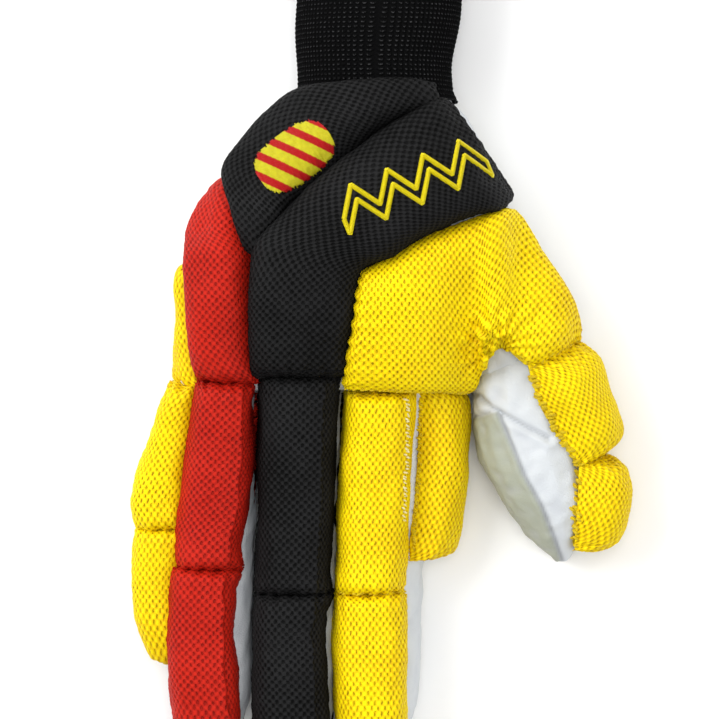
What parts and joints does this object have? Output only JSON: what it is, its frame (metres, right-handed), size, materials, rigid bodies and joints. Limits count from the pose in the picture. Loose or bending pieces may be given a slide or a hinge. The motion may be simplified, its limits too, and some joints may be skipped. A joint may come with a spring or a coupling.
{
  "type": "roller hockey glove",
  "caption": "Padded glove for roller hockey: leather hand and fingers, mesh-covered foam rolls on back, fingers and thumb, knitted wrist.",
  "frame": {"origin": "middle of the bounding box in plan, on the surface that the palm lies on", "axes": "+Z out of the back of the hand, +Y from the fingertips to the wrist, +X towards the thumb"},
  "size_m": [0.1516, 0.2726, 0.0572],
  "materials": {
    "cuff_knit": "ribbed knit, matt",
    "leather": "soft, matt, lightly wrinkled",
    "black_mesh": "padded spacer mesh, satin",
    "red_mesh": "padded spacer mesh, satin",
    "yellow_mesh": "padded spacer mesh, satin",
    "yellow_thread": "satin stitch, glossy thread",
    "patch_thread": "satin stitch with red stripes"
  },
  "bodies": {
    "root": {"wrist_cuff": "cuff_knit", "hand_shell": "leather", "thumb_sleeve": "leather", "index_sleeve": "leather", "middle_sleeve": "leather", "ring_sleeve": "leather", "little_sleeve": "leather", "upper_back_pad": "black_mesh", "cross_pad": "black_mesh", "ring_back_pad": "red_mesh", "index_back_pad": "yellow_mesh", "little_back_pad": "yellow_mesh", "index_pad_1": "yellow_mesh", "index_pad_2": "yellow_mesh", "middle_pad_1": "black_mesh", "middle_pad_2": "black_mesh", "ring_pad_1": "red_mesh", "ring_pad_2": "red_mesh", "little_pad_1": "yellow_mesh", "little_pad_2": "yellow_mesh", "index_side_pad": "yellow_mesh", "thumb_pad_1": "yellow_mesh", "thumb_pad_2": "yellow_mesh", "embroidered_patch": "patch_thread", "embroidered_motif": "yellow_thread"}
  },
  "joints": []
}
